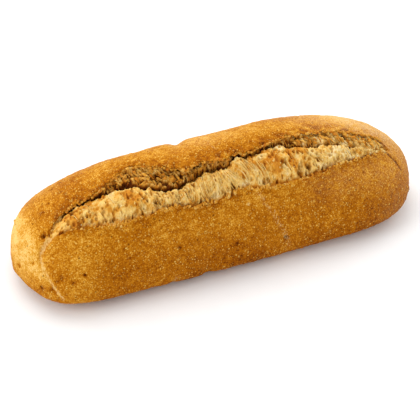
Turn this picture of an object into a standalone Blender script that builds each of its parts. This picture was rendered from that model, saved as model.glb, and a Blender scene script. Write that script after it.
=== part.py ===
# Brown bread roll: one baked loaf with blunt ends and a flat base, slashed once along its top.
# The slash has opened into a band of torn crumb. Behind it a crevice runs under the rear crust.
# Metres, +Z up. X runs along the loaf, -Y is the side that the slash leans to, the base lies on Z = 0.

import math

import bmesh
import bpy
from mathutils import Vector, noise

# Driving dimensions of the whole loaf
LENGTH = 0.214
WIDTH = 0.0712
HEIGHT = 0.0559
# Height of the widest part, and how far the round underside would reach below the flat base
WAIST = 0.0116
BASE_SINK = 0.0020
# Share by which the far end is wider, and the near end narrower, than the middle
FAR_END_WIDER = 0.032

HALF_LENGTH = LENGTH / 2
HALF_WIDTH = WIDTH / 2

# Superellipse powers of each end: bluntness and roundness, seen from above and of the crown's height
NEAR_END = {"plan": (13.9, 1.26), "crown": (2.83, 2.01)}
FAR_END = {"plan": (8.3, 1.32), "crown": (2.31, 2.04)}
# Powers of the middle section: sides, dome and underside, and how much of the underside is left at the tips
SIDE_POWER = 0.96
DOME_POWER = 1.12
UNDER_POWER = 0.495
UNDER_AT_TIP = 0.135

# The slash along the top: its ends, and the length over which it opens there
SLASH_START = -0.0935
SLASH_END = 0.0915
SLASH_OPENING = 0.012
# The front lip's distance from the middle line, in the middle and at the ends
SLASH_MIDDLE = -0.002
SLASH_REACH = 0.092
FRONT_LIP = -0.0260
FRONT_LIP_AT_ENDS = -0.0150
FRONT_LIP_POWER = 3
# Notches of the front lip: place along the loaf, half length and depth
FRONT_NOTCHES = (
    (-0.062, 0.010, -0.0008),
    (-0.034, 0.007, 0.0011),
    (0.004, 0.005, 0.0014),
    (0.030, 0.009, -0.0007),
)
# Course of the crevice: place along the loaf and distance from the middle line
CREVICE_LINE = (
    (-0.092, -0.0128),
    (-0.080, -0.0092),
    (-0.066, -0.0092),
    (-0.053, -0.0106),
    (-0.043, -0.0140),
    (-0.033, -0.0180),
    (-0.024, -0.0176),
    (-0.014, -0.0147),
    (-0.0045, -0.0152),
    (-0.0010, -0.0154),
    (0.0015, -0.0118),
    (0.006, -0.0114),
    (0.012, -0.0120),
    (0.026, -0.0098),
    (0.040, -0.0138),
    (0.050, -0.0138),
    (0.058, -0.0145),
    (0.0645, -0.0158),
    (0.074, -0.0168),
    (0.090, -0.0162),
)
# Course of the rear crust's torn edge, with two scallops torn back on the near half
REAR_LINE = (
    (-0.092, -0.0116),
    (-0.080, -0.0080),
    (-0.064, -0.0076),
    (-0.055, -0.0034),
    (-0.045, -0.0016),
    (-0.036, -0.0058),
    (-0.028, -0.0094),
    (-0.0228, -0.0118),
    (-0.0165, -0.0098),
    (-0.006, -0.0108),
    (0.007, -0.0112),
    (0.020, -0.0084),
    (0.036, -0.0060),
    (0.056, -0.0057),
    (0.076, -0.0066),
    (0.085, -0.0088),
    (0.090, -0.0150),
)
NARROWEST_CRUMB = 0.0016
NARROWEST_WALL = 0.0011

# Relief across the slash
LIP_RISE = 0.0009
LIP_SHARE = 0.09
CRUMB_DROP = 0.0019
CRUMB_SWELL = 0.0034
SWELL_POWER = 0.75
# The crumb's rear edge stands higher, most of all on the far part, where the torn wall is shallow too
CREST_RISE = 0.0005
FAR_CREST_RISE = 0.0017
CREST_FROM = 0.45
CREST_WHOLE = 0.85
FAR_PART_FROM = 0.030
FAR_PART_WHOLE = 0.044
FAR_SCOOP_LOSS = 0.6
CREVICE_DEPTH = 0.0058
CREVICE_HALF_WIDTH = 0.0013
CREVICE_START = -0.086
CREVICE_END = 0.072
CREVICE_FADE = 0.012
SCOOP_DEPTH = 0.0024
SCOOP_END = 0.6
EAR_RISE = 0.0010
EAR_LENGTH = 0.020
EAR_OVERHANG = 0.0022
EAR_HALF_WIDTH = 0.0022
# Over the near scallops the crust is torn in layers and its edge stands up less
LAYERED_PLACE = -0.050
LAYERED_HALF_LENGTH = 0.018
LAYERED_LOSS = 0.75

# Crags of the torn surfaces
CRAG_SIZE = Vector((0.0060, 0.0075, 0.0075))
CRAG_RELIEF = 0.0010
CRAG_ROUGHNESS = 0.9
CRAG_FINER = 2.1
CRAG_LAYERS = 3

# Creases and dents of the crust: points on the surface, depth at each point, and half width
CREASES = (
    {  # fold of dough at the near end
        "points": ((-0.0905, -0.0155, 0.0345), (-0.0962, -0.0162, 0.0306), (-0.0980, -0.0187, 0.0265),
                   (-0.0970, -0.0228, 0.0225), (-0.0950, -0.0280, 0.0170), (-0.0920, -0.0320, 0.0100)),
        "depths": (0.0011, 0.0013, 0.0012, 0.0011, 0.0009, 0.0004),
        "half_width": 0.0017,
    },
    {  # crack that runs on from the slash at the far end
        "points": ((0.0860, -0.0160, 0.0360), (0.0905, -0.0185, 0.0312), (0.0930, -0.0212, 0.0262)),
        "depths": (0.0012, 0.0010, 0.0003),
        "half_width": 0.0011,
    },
    {  # pinch between the two swellings of the rear crust
        "points": ((-0.0120, 0.0300, 0.0330), (-0.0150, 0.0190, 0.0490), (-0.0178, 0.0110, 0.0540),
                   (-0.0205, 0.0000, 0.0558), (-0.0215, -0.0070, 0.0550)),
        "depths": (0.0005, 0.0018, 0.0018, 0.0010, 0.0003),
        "half_width": 0.0034,
    },
    {  # broad hollow of the rear shoulder
        "points": ((-0.0360, 0.0190, 0.0480), (-0.0120, 0.0190, 0.0490), (0.0150, 0.0190, 0.0485)),
        "depths": (0.0010, 0.0012, 0.0011),
        "half_width": 0.0130,
    },
    {  # stretched crust below the front lip
        "points": ((0.0093, -0.0270, 0.0400), (0.0150, -0.0318, 0.0300), (0.0200, -0.0350, 0.0190),
                   (0.0245, -0.0360, 0.0095)),
        "depths": (0.0005, 0.0006, 0.0005, 0.0003),
        "half_width": 0.0018,
    },
    {  # notch at the foot of the front
        "points": ((-0.0190, -0.0290, 0.0002), (-0.0195, -0.0352, 0.0070), (-0.0185, -0.0358, 0.0140)),
        "depths": (0.0012, 0.0013, 0.0003),
        "half_width": 0.0030,
    },
    {  # shallow dent beside it
        "points": ((-0.0385, -0.0300, 0.0002), (-0.0370, -0.0348, 0.0060)),
        "depths": (0.0006, 0.0005),
        "half_width": 0.0030,
    },
)

# Unevenness of the whole crust: size of the swellings and how far they stand out
LUMPS = ((0.030, 0.0005), (0.009, 0.0002))
LUMP_OFFSET = Vector((7, 3, 5))

# Mesh divisions along the loaf, over the top (and under the base) and up the sides
STATIONS = 76
ROWS_OVER_TOP = 31
ROWS_UP_SIDE = 10
# Share of the full width at which the body ends and a cap begins
CAP_SHARE = 0.76
# Rows over the top: share of the rows up to the front lip, the crevice and the rear lip
FRONT_LIP_ROW = 0.16
CREVICE_ROW = 0.55
REAR_LIP_ROW = 0.74
# Angles of the section, from the rear side over the top, where the top and the base meet the sides
TOP_FRONT_ANGLE = math.radians(152)
TOP_REAR_ANGLE = math.radians(30)
BASE_FRONT_ANGLE = math.radians(222)
BASE_REAR_ANGLE = math.radians(-42)
# Near the sides a y on the dome is read no further out than this share of the half width
WIDEST_SHARE = 0.97
# Halvings by which a cap's points are found
CAP_HALVINGS = 24
CAP_RINGS_SHARE = 0.35
CUBE_SIDE = 2.0
ON_FACE = 0.9999
FLAT = 1e-7

CRUST_COLOUR = (0.48, 0.20, 0.035, 1)
CRUST_ROUGHNESS = 0.62


def smooth_step(low, high, value):
    share = min(max((value - low) / (high - low), 0.0), 1.0)
    return share * share * (3 - 2 * share)


def mix(first, second, share):
    return first + (second - first) * share


def hump(centre, half_length, value):
    away = (value - centre) / half_length
    return math.exp(-away * away)


def signed_power(value, power):
    return math.copysign(abs(value) ** power, value)


def slope(points, index):
    before, after = points[max(index - 1, 0)], points[min(index + 1, len(points) - 1)]
    return (after[1] - before[1]) / (after[0] - before[0])


def along(points, x):
    # A smooth curve through (place, value) pairs, level beyond its ends
    if x <= points[0][0]:
        return points[0][1]
    for index in range(len(points) - 1):
        (x0, value0), (x1, value1) = points[index], points[index + 1]
        if x <= x1:
            step = x1 - x0
            share = (x - x0) / step
            start = value0 + share * step * slope(points, index)
            end = value1 - (1 - share) * step * slope(points, index + 1)
            return mix(start, end, smooth_step(0, 1, share))
    return points[-1][1]


def end_of(x):
    return NEAR_END if x < 0 else FAR_END


def taper(x, powers):
    # Share of the middle's size that is left at this place along the loaf
    bluntness, roundness = powers
    return max(1 - abs(x / HALF_LENGTH) ** bluntness, 0.0) ** (1 / roundness)


def plan_taper(x):
    return taper(x, end_of(x)["plan"])


def x_of_plan_taper(share, side):
    bluntness, roundness = end_of(side)["plan"]
    return math.copysign(HALF_LENGTH * max(1 - share**roundness, 0.0) ** (1 / bluntness), side)


def half_width(x):
    return HALF_WIDTH * (1 + FAR_END_WIDER * x / HALF_LENGTH)


def loaf_point(x, angle, plan):
    # The loaf before it was slashed. The angle runs from the rear side (0) over the top to the front (pi).
    crown = taper(x, end_of(x)["crown"])
    y = half_width(x) * plan * signed_power(math.cos(angle), SIDE_POWER)
    height = abs(math.sin(angle))
    if math.sin(angle) >= 0:
        z = WAIST + (HEIGHT - WAIST) * crown * height**DOME_POWER
    else:
        z = WAIST - (WAIST + BASE_SINK) * mix(UNDER_AT_TIP, 1.0, crown) * height**UNDER_POWER
    return Vector((x, y, z))


def outward(x, angle, plan):
    # The way relief stands out: across the section in the middle, along the loaf at the tips
    lengthwise = math.copysign(1 - plan, x)
    return Vector((lengthwise, plan * math.cos(angle), plan * math.sin(angle))).normalized()


def angle_of_y(y, x, plan):
    # The angle over the dome at which the whole loaf reaches this y
    share = y / (half_width(x) * plan)
    share = min(max(share, -WIDEST_SHARE), WIDEST_SHARE)
    return math.acos(signed_power(share, 1 / SIDE_POWER))


def front_lip_y(x):
    away = min(abs(x - SLASH_MIDDLE) / SLASH_REACH, 1.0)
    lip = mix(FRONT_LIP, FRONT_LIP_AT_ENDS, away**FRONT_LIP_POWER)
    return lip + sum(depth * hump(place, half_length, x) for place, half_length, depth in FRONT_NOTCHES)


def crevice_y(x):
    return max(along(CREVICE_LINE, x), front_lip_y(x) + NARROWEST_CRUMB)


def rear_lip_y(x):
    return max(along(REAR_LINE, x), crevice_y(x) + NARROWEST_WALL)


def angle_of_row(row, x, plan):
    # Rows follow the lips and the crevice, so that each of them has an edge of its own in the mesh.
    marks = (
        (0.0, TOP_FRONT_ANGLE),
        (FRONT_LIP_ROW, angle_of_y(front_lip_y(x), x, plan)),
        (CREVICE_ROW, angle_of_y(crevice_y(x), x, plan)),
        (REAR_LIP_ROW, angle_of_y(rear_lip_y(x), x, plan)),
        (1.0, TOP_REAR_ANGLE),
    )
    for (row0, angle0), (row1, angle1) in zip(marks, marks[1:]):
        if row <= row1:
            return mix(angle0, angle1, (row - row0) / (row1 - row0))
    return TOP_REAR_ANGLE


def crags(point):
    place = Vector(point[axis] / CRAG_SIZE[axis] for axis in range(3))
    return noise.fractal(place, CRAG_ROUGHNESS, CRAG_FINER, CRAG_LAYERS)


def slash_relief(point):
    # How far the slash moves the surface of the whole loaf out, and towards the front
    x, y = point.x, point.y
    if not SLASH_START < x < SLASH_END:
        return 0.0, 0.0
    front, crevice, rear = front_lip_y(x), crevice_y(x), rear_lip_y(x)
    opened = smooth_step(SLASH_START, SLASH_START + SLASH_OPENING, x)
    opened *= smooth_step(SLASH_END, SLASH_END - SLASH_OPENING, x)
    cut = smooth_step(CREVICE_START, CREVICE_START + CREVICE_FADE, x)
    cut *= smooth_step(CREVICE_END, CREVICE_END - CREVICE_FADE, x)
    far_part = smooth_step(FAR_PART_FROM, FAR_PART_WHOLE, x)
    ear = 1 - LAYERED_LOSS * hump(LAYERED_PLACE, LAYERED_HALF_LENGTH, x)
    out = -CREVICE_DEPTH * cut * hump(crevice, CREVICE_HALF_WIDTH, y)
    if y <= crevice:
        share = (y - front) / (crevice - front)
        inside = smooth_step(0, LIP_SHARE, share)
        swell = math.sin(math.pi * min(max(share, 0.0), 1.0)) ** SWELL_POWER
        out += inside * (CRUMB_SWELL * swell - CRUMB_DROP + CRAG_RELIEF * crags(point))
        out += mix(CREST_RISE, FAR_CREST_RISE, far_part) * smooth_step(CREST_FROM, CREST_WHOLE, share)
        out += LIP_RISE * hump(0.0, LIP_SHARE, share)
    elif y <= rear:
        share = (y - crevice) / (rear - crevice)
        scoop = SCOOP_DEPTH * (1 - FAR_SCOOP_LOSS * far_part)
        out += (CRAG_RELIEF * crags(point) - scoop) * smooth_step(1.0, SCOOP_END, share)
        out += EAR_RISE * ear * smooth_step(SCOOP_END, 1.0, share)
    else:
        out += EAR_RISE * ear * smooth_step(rear + EAR_LENGTH, rear, y)
    forward = EAR_OVERHANG * ear * hump(rear, EAR_HALF_WIDTH, y)
    return opened * out, opened * forward


def crease_depth(crease, point):
    # Depth of one crease at this point, by the distance to its nearest stretch
    deepest = 0.0
    points, depths = crease["points"], crease["depths"]
    for index in range(len(points) - 1):
        start = Vector(points[index])
        run = Vector(points[index + 1]) - start
        share = min(max((point - start).dot(run) / run.length_squared, 0.0), 1.0)
        gap = (point - start - run * share).length
        depth = mix(depths[index], depths[index + 1], share) * hump(0.0, crease["half_width"], gap)
        deepest = max(deepest, depth)
    return deepest


def crust_relief(point):
    lumps = sum(noise.noise(point / size + LUMP_OFFSET) * relief for size, relief in LUMPS)
    return lumps - sum(crease_depth(crease, point) for crease in CREASES)


def section_angle(across, up, x, plan):
    # The section's angle for a point on the edge of the square, given as across and up from -1 to 1
    if up > ON_FACE:
        return angle_of_row((across + 1) / 2, x, plan)
    if across < -ON_FACE:
        return mix(BASE_FRONT_ANGLE, TOP_FRONT_ANGLE, (up + 1) / 2)
    if across > ON_FACE:
        return mix(BASE_REAR_ANGLE, TOP_REAR_ANGLE, (up + 1) / 2)
    return mix(BASE_FRONT_ANGLE, BASE_REAR_ANGLE + 2 * math.pi, (across + 1) / 2)


def cap_edge(across, up, cap_x):
    return loaf_point(cap_x, section_angle(across, up, cap_x, CAP_SHARE), CAP_SHARE)


def cap_target(across, up, cap_x):
    # The point of the square, seen along the loaf: spread evenly between the four stretches of the
    # cap's edge, then drawn part of the way to rings about its middle, so that it stays inside the edge.
    along_y, along_z = (across + 1) / 2, (up + 1) / 2
    low, high = cap_edge(across, -1, cap_x), cap_edge(across, 1, cap_x)
    front, rear = cap_edge(-1, up, cap_x), cap_edge(1, up, cap_x)
    low_corners = cap_edge(-1, -1, cap_x).lerp(cap_edge(1, -1, cap_x), along_y)
    high_corners = cap_edge(-1, 1, cap_x).lerp(cap_edge(1, 1, cap_x), along_y)
    even = low.lerp(high, along_z) + front.lerp(rear, along_y) - low_corners.lerp(high_corners, along_z)
    ring = max(abs(across), abs(up))
    middle = Vector((cap_x, 0, WAIST))
    on_ring = middle.lerp(cap_edge(across / ring, up / ring, cap_x), ring) if ring > 0 else middle
    return even.lerp(on_ring, CAP_RINGS_SHARE)


def ring_angle(target, x, plan):
    # The angle at which the section at x passes over or under the target, and whether it encloses it
    share = target.y / (half_width(x) * max(plan, FLAT))
    if abs(share) >= 1:
        return (0.0 if share > 0 else math.pi), False
    angle = math.acos(signed_power(share, 1 / SIDE_POWER))
    if target.z < WAIST:
        angle = 2 * math.pi - angle
        return angle, loaf_point(x, angle, plan).z <= target.z
    return angle, loaf_point(x, angle, plan).z >= target.z


def cap_place(side, across, up):
    # Where a line along the loaf through the target leaves it: found by halving the share of the width
    outer, inner = CAP_SHARE, 0.0
    target = cap_target(across, up, x_of_plan_taper(CAP_SHARE, side))
    for _ in range(CAP_HALVINGS):
        plan = (outer + inner) / 2
        angle, enclosed = ring_angle(target, x_of_plan_taper(plan, side), plan)
        if enclosed:
            outer = plan
        else:
            inner = plan
    x = x_of_plan_taper(outer, side)
    angle, _ = ring_angle(target, x, outer)
    return x, angle, outer


def place(cube_point):
    # Carries a point of the cube to the loaf's surface. The cube's two ends become the blunt caps.
    side, across, up = cube_point
    if abs(side) > ON_FACE and max(abs(across), abs(up)) < ON_FACE:
        x, angle, plan = cap_place(side, across, up)
    else:
        x = abs(side) * x_of_plan_taper(CAP_SHARE, side)
        plan = plan_taper(x)
        angle = section_angle(across, up, x, plan)
    whole = loaf_point(x, angle, plan)
    out, forward = slash_relief(whole) if math.sin(angle) > 0 else (0.0, 0.0)
    point = whole + outward(x, angle, plan) * (out + crust_relief(whole))
    point.y -= forward
    point.z = 0.0 if whole.z <= 0 else max(point.z, 0.0)
    return point


def subdivided_cube():
    mesh = bmesh.new()
    bmesh.ops.create_cube(mesh, size=CUBE_SIDE)
    for axis, pieces in enumerate((STATIONS, ROWS_OVER_TOP, ROWS_UP_SIDE)):
        spans = [(edge, edge.verts[0].co - edge.verts[1].co) for edge in mesh.edges]
        edges = [edge for edge, span in spans if abs(span[axis]) > CUBE_SIDE * ON_FACE]
        bmesh.ops.subdivide_edges(mesh, edges=edges, cuts=pieces - 1, use_grid_fill=True)
    return mesh


def join_base_faces(mesh):
    # The base is one flat face.
    flat = [face for face in mesh.faces if all(vertex.co.z < FLAT for vertex in face.verts)]
    bmesh.ops.dissolve_faces(mesh, faces=flat, use_verts=True)


def centre_on_base(mesh):
    low = [min(vertex.co[axis] for vertex in mesh.verts) for axis in range(3)]
    high = [max(vertex.co[axis] for vertex in mesh.verts) for axis in range(3)]
    shift = Vector((-(low[0] + high[0]) / 2, -(low[1] + high[1]) / 2, -low[2]))
    bmesh.ops.translate(mesh, verts=mesh.verts, vec=shift)


def crust_material():
    material = bpy.data.materials.new("brown_crust")
    material.use_nodes = True
    shader = material.node_tree.nodes["Principled BSDF"]
    shader.inputs["Base Color"].default_value = CRUST_COLOUR
    shader.inputs["Roughness"].default_value = CRUST_ROUGHNESS
    shader.inputs["Metallic"].default_value = 0.0
    return material


def build_loaf():
    mesh = subdivided_cube()
    for vertex in mesh.verts:
        vertex.co = place(vertex.co.copy())
    join_base_faces(mesh)
    centre_on_base(mesh)
    bmesh.ops.recalc_face_normals(mesh, faces=mesh.faces)
    data = bpy.data.meshes.new("loaf")
    mesh.to_mesh(data)
    mesh.free()
    data.shade_smooth()
    loaf = bpy.data.objects.new("loaf", data)
    loaf.data.materials.append(crust_material())
    bpy.context.scene.collection.objects.link(loaf)
    return loaf


def clear_scene():
    for existing in list(bpy.data.objects):
        bpy.data.objects.remove(existing, do_unlink=True)


clear_scene()
build_loaf()
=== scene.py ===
from functools import lru_cache
import math
import random

import bmesh
import bpy
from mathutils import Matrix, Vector, kdtree, noise


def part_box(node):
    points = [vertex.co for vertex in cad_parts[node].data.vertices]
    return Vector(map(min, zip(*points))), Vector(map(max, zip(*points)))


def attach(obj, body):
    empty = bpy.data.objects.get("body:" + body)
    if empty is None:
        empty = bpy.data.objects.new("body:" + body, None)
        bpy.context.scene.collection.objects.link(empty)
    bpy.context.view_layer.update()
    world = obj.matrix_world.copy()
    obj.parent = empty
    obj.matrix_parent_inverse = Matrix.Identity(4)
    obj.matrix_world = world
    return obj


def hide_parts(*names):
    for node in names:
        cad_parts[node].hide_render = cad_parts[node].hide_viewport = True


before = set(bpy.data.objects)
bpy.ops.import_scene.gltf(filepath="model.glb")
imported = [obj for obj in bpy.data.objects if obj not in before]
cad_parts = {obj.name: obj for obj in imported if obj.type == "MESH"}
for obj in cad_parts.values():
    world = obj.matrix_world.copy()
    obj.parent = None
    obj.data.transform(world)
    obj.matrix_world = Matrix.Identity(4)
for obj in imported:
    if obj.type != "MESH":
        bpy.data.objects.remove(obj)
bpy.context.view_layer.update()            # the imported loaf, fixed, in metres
lowCorner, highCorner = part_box("loaf")
boxSize = highCorner - lowCorner
print("frame loaded", [round(side, 4) for side in boxSize])

# the plain loaf before slash and relief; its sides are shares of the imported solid's box
loaf = {
    "length": boxSize.x * 0.9975,
    "width": boxSize.y * 0.9817,
    "height": boxSize.z * 0.9910,
    "waist": 0.0116,
    "baseSink": 0.0020,
    "farEndWider": 0.032,
    "nearEnd": {"plan": (13.9, 1.26), "crown": (2.83, 2.01)},     # superellipse powers
    "farEnd": {"plan": (8.3, 1.32), "crown": (2.31, 2.04)},
    "sidePower": 0.96,
    "domePower": 1.12,
    "underPower": 0.495,
    "underAtTip": 0.135,
    "capShare": 0.76,
    "topFront": math.radians(152),
    "topRear": math.radians(30),
    "baseFront": math.radians(222),
    "baseRear": math.radians(-42),
    "widestShare": 0.97,
}
halfLength = loaf["length"] / 2

# the slash: places along the loaf, distances from the middle line
slash = {
    "start": -0.0935, "end": 0.0915, "opening": 0.012,
    "middle": -0.002, "reach": 0.092,
    "frontLip": -0.0260, "frontLipAtEnds": -0.0150, "frontLipPower": 3,
    "frontNotches": ((-0.062, 0.010, -0.0008), (-0.034, 0.007, 0.0011),
                     (0.004, 0.005, 0.0014), (0.030, 0.009, -0.0007)),
    "crevice": ((-0.092, -0.0128), (-0.080, -0.0092), (-0.066, -0.0092), (-0.053, -0.0106),
                (-0.043, -0.0140), (-0.033, -0.0180), (-0.024, -0.0176), (-0.014, -0.0147),
                (-0.0045, -0.0152), (-0.0010, -0.0154), (0.0015, -0.0118), (0.006, -0.0114),
                (0.012, -0.0120), (0.026, -0.0098), (0.040, -0.0138), (0.050, -0.0138), (0.058, -0.0145),
                (0.0645, -0.0158), (0.074, -0.0168), (0.090, -0.0162)),
    "rear": ((-0.092, -0.0116), (-0.080, -0.0080), (-0.064, -0.0076), (-0.055, -0.0034),
             (-0.045, -0.0016), (-0.036, -0.0058), (-0.028, -0.0094), (-0.0228, -0.0118),
             (-0.0165, -0.0098), (-0.006, -0.0108), (0.007, -0.0112), (0.020, -0.0084),
             (0.036, -0.0060), (0.056, -0.0057), (0.076, -0.0066), (0.085, -0.0088), (0.090, -0.0150)),
    "narrowestCrumb": 0.0016, "narrowestWall": 0.0011,
    "creviceStart": -0.086, "creviceEnd": 0.072, "creviceFade": 0.010,
    "earRise": 0.0010, "earLength": 0.020, "earOverhang": 0.0022, "earHalfWidth": 0.0022,
    "layered": -0.050, "layeredReach": 0.018, "layeredLoss": 0.75,
    "jagSize": 0.0034, "jagReach": 0.0011, "frontJagSeed": 1.7, "rearJagSeed": 5.2,
    "creviceJagSize": 0.0036, "creviceJagReach": 0.0011, "creviceJagSeed": 9.1,
}

# creases of the crust: points on the surface, depth at each, half width, and how pale the crust is there
creases = (
    {"points": ((-0.0905, -0.0155, 0.0345), (-0.0962, -0.0162, 0.0306), (-0.0980, -0.0187, 0.0265),
                (-0.0970, -0.0228, 0.0225), (-0.0950, -0.0280, 0.0170), (-0.0920, -0.0320, 0.0100)),
     "depths": (0.0012, 0.0015, 0.0014, 0.0012, 0.0009, 0.0004), "halfWidth": 0.0012, "pale": 0.75},
    # this crack at the far end is painted darker along its line: painted shade in it
    {"points": ((0.0860, -0.0160, 0.0360), (0.0905, -0.0185, 0.0312), (0.0930, -0.0212, 0.0262)),
     "depths": (0.0012, 0.0010, 0.0003), "halfWidth": 0.0006, "pale": 0.0, "dark": 0.55},
    {"points": ((-0.0120, 0.0300, 0.0330), (-0.0150, 0.0190, 0.0490), (-0.0178, 0.0110, 0.0540),
                (-0.0205, 0.0000, 0.0558), (-0.0215, -0.0070, 0.0550)),
     "depths": (0.0005, 0.0018, 0.0018, 0.0010, 0.0003), "halfWidth": 0.0034, "pale": 0.0},
    {"points": ((-0.0360, 0.0190, 0.0480), (-0.0120, 0.0190, 0.0490), (0.0150, 0.0190, 0.0485)),
     "depths": (0.0010, 0.0012, 0.0011), "halfWidth": 0.0130, "pale": 0.0},
    {"points": ((-0.0890, -0.0150, 0.0372), (-0.0935, -0.0154, 0.0340), (-0.0970, -0.0168, 0.0296)),
     "depths": (0.0006, 0.0006, 0.0003), "halfWidth": 0.0017, "pale": 0.9},
    {"points": ((-0.0139, 0.0078, 0.0548), (-0.0080, 0.0029, 0.0559), (-0.0036, -0.0056, 0.0555)),
     "depths": (0.0003, 0.0004, 0.0003), "halfWidth": 0.0016, "pale": 0.42},
    {"points": ((0.0093, -0.0270, 0.0400), (0.0130, -0.0300, 0.0345), (0.0175, -0.0332, 0.0260),
                (0.0212, -0.0352, 0.0170), (0.0240, -0.0360, 0.0095)),
     "depths": (0.0004, 0.0006, 0.0006, 0.0005, 0.0002), "halfWidth": 0.0020, "pale": 0.48},
    {"points": ((-0.0190, -0.0290, 0.0002), (-0.0195, -0.0352, 0.0070), (-0.0185, -0.0358, 0.0140)),
     "depths": (0.0012, 0.0013, 0.0003), "halfWidth": 0.0030, "pale": 0.0},
    {"points": ((-0.0385, -0.0300, 0.0002), (-0.0370, -0.0348, 0.0060), (-0.0345, -0.0356, 0.0100)),
     "depths": (0.0006, 0.0005, 0.0001), "halfWidth": 0.0018, "pale": 0.40},
    {"points": ((-0.0177, -0.0263, 0.0404), (-0.0170, -0.0290, 0.0360)),
     "depths": (0.0009, 0.0002), "halfWidth": 0.0010, "pale": 0.0},
    {"points": ((-0.0120, -0.0268, 0.0400), (-0.0128, -0.0290, 0.0362)),
     "depths": (0.0006, 0.0001), "halfWidth": 0.0009, "pale": 0.0},
    {"points": ((0.0010, -0.0262, 0.0408), (0.0022, -0.0285, 0.0370)),
     "depths": (0.0008, 0.0002), "halfWidth": 0.0012, "pale": 0.0},
)

# single marks that the photo shows on the crust: place, radius, rise, how dark, how pale
marks = (
    # the darkness of the dented marks is painted shade in their holes
    ((-0.0936, -0.0119, 0.0349), 0.0013, -0.0024, 0.9, 0.0),
    ((-0.0955, -0.0110, 0.0345), 0.0010, 0.0006, 0.0, 0.9),
    ((-0.0880, -0.0142, 0.0384), 0.0010, -0.0008, 0.8, 0.0),
    ((-0.0912, -0.0136, 0.0366), 0.0009, -0.0008, 0.8, 0.0),
    ((-0.0834, -0.0128, 0.0410), 0.0013, -0.0012, 0.9, 0.0),
    ((-0.1006, 0.0140, 0.0260), 0.0012, 0.0018, 0.5, 0.0),
    ((0.0973, -0.0233, 0.0148), 0.0020, 0.0010, 0.1, 0.0),
    ((-0.0805, -0.0321, 0.0221), 0.0008, -0.0009, 1.0, 0.0),
    ((-0.0960, -0.0284, 0.0146), 0.0012, -0.0007, 0.6, 0.0),
    ((-0.0910, -0.0294, 0.0212), 0.0013, -0.0007, 0.5, 0.0),
    ((-0.0862, -0.0320, 0.0191), 0.0012, -0.0006, 0.5, 0.0),
    ((-0.0933, -0.0288, 0.0196), 0.0010, -0.0006, 0.5, 0.0),
    ((-0.1013, -0.0186, 0.0203), 0.0010, -0.0005, 0.4, 0.0),
    ((-0.1000, -0.0238, 0.0140), 0.0013, -0.0008, 0.6, 0.0),
    ((-0.1011, -0.0160, 0.0236), 0.0010, -0.0006, 0.5, 0.0),
    ((-0.1061, -0.0069, 0.0164), 0.0012, -0.0008, 0.6, 0.0),
    ((-0.0797, 0.0039, 0.0450), 0.0010, -0.0004, 0.5, 0.0),
    ((-0.0904, -0.0010, 0.0393), 0.0014, 0.0003, 0.5, 0.0),
    ((-0.0820, 0.0119, 0.0420), 0.0012, -0.0004, 0.5, 0.0),
    ((0.0216, -0.0357, 0.0147), 0.0012, -0.0009, 0.9, 0.0),
    ((-0.0045, -0.0349, 0.0186), 0.0012, -0.0005, 0.5, 0.0),
    ((0.0036, -0.0290, 0.0363), 0.0009, 0.0005, 0.0, 1.0),
    ((-0.0334, -0.0333, 0.0244), 0.0009, -0.0005, 0.7, 0.0),
    ((0.0679, -0.0051, 0.0473), 0.0012, -0.0004, 0.5, 0.0),
)


def smoothStep(low, high, value):
    share = min(max((value - low) / (high - low), 0.0), 1.0)
    return share * share * (3 - 2 * share)


def mix(first, second, share):
    return first + (second - first) * share


def hump(centre, halfLength, value):
    away = (value - centre) / halfLength
    return math.exp(-away * away)


def signedPower(value, power):
    return math.copysign(abs(value) ** power, value)


def slopeAt(points, index):
    before, after = points[max(index - 1, 0)], points[min(index + 1, len(points) - 1)]
    return (after[1] - before[1]) / (after[0] - before[0])


def along(points, x):        # a smooth curve through (place, value) pairs, level beyond its ends
    if x <= points[0][0]:
        return points[0][1]
    for index in range(len(points) - 1):
        (x0, value0), (x1, value1) = points[index], points[index + 1]
        if x <= x1:
            step = x1 - x0
            share = (x - x0) / step
            start = value0 + share * step * slopeAt(points, index)
            end = value1 - (1 - share) * step * slopeAt(points, index + 1)
            return mix(start, end, smoothStep(0, 1, share))
    return points[-1][1]


def noiseAt(x, y, z, sizeX, sizeY, sizeZ, seed):
    return noise.noise(Vector((x / sizeX + seed, y / sizeY - seed, z / sizeZ + 2 * seed)))


def planNoise(x, y, sizeX, sizeY, seed):     # over the plan of the loaf
    return noiseAt(x, y, 0, sizeX, sizeY, 1, seed)


# ragged noises: roughness, spacing of the octaves, number of octaves
ragged = {"crevice": (0.8, 2.2, 3), "lip": (0.7, 2.3, 3), "flake": (0.8, 2.1, 3), "crag": (0.9, 2.1, 3),
          "tooth": (0.7, 2.1, 3), "face": (0.8, 2.2, 4)}


def raggedAt(kind, x, y, z):
    return noise.fractal(Vector((x, y, z)), *ragged[kind])


# form of the plain loaf

def endOf(x):
    return loaf["nearEnd"] if x < 0 else loaf["farEnd"]


def taper(x, powers):        # share of the middle's size that is left at this place
    bluntness, roundness = powers
    return max(1 - abs(x / halfLength) ** bluntness, 0.0) ** (1 / roundness)


@lru_cache(maxsize=None)
def planTaper(x):
    return taper(x, endOf(x)["plan"])


def xOfPlanTaper(share, side):
    bluntness, roundness = endOf(side)["plan"]
    return math.copysign(halfLength * max(1 - share**roundness, 0.0) ** (1 / bluntness), side)


def halfWidthAt(x):
    return loaf["width"] / 2 * (1 + loaf["farEndWider"] * x / halfLength)


def loafPoint(x, angle, plan):      # the angle runs from the rear side (0) over the top to the front (pi)
    crown = taper(x, endOf(x)["crown"])
    y = halfWidthAt(x) * plan * signedPower(math.cos(angle), loaf["sidePower"])
    height = abs(math.sin(angle))
    waist = loaf["waist"]
    if math.sin(angle) >= 0:
        z = waist + (loaf["height"] - waist) * crown * height ** loaf["domePower"]
    else:
        under = mix(loaf["underAtTip"], 1.0, crown)
        z = waist - (waist + loaf["baseSink"]) * under * height ** loaf["underPower"]
    return Vector((x, y, z))


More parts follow.
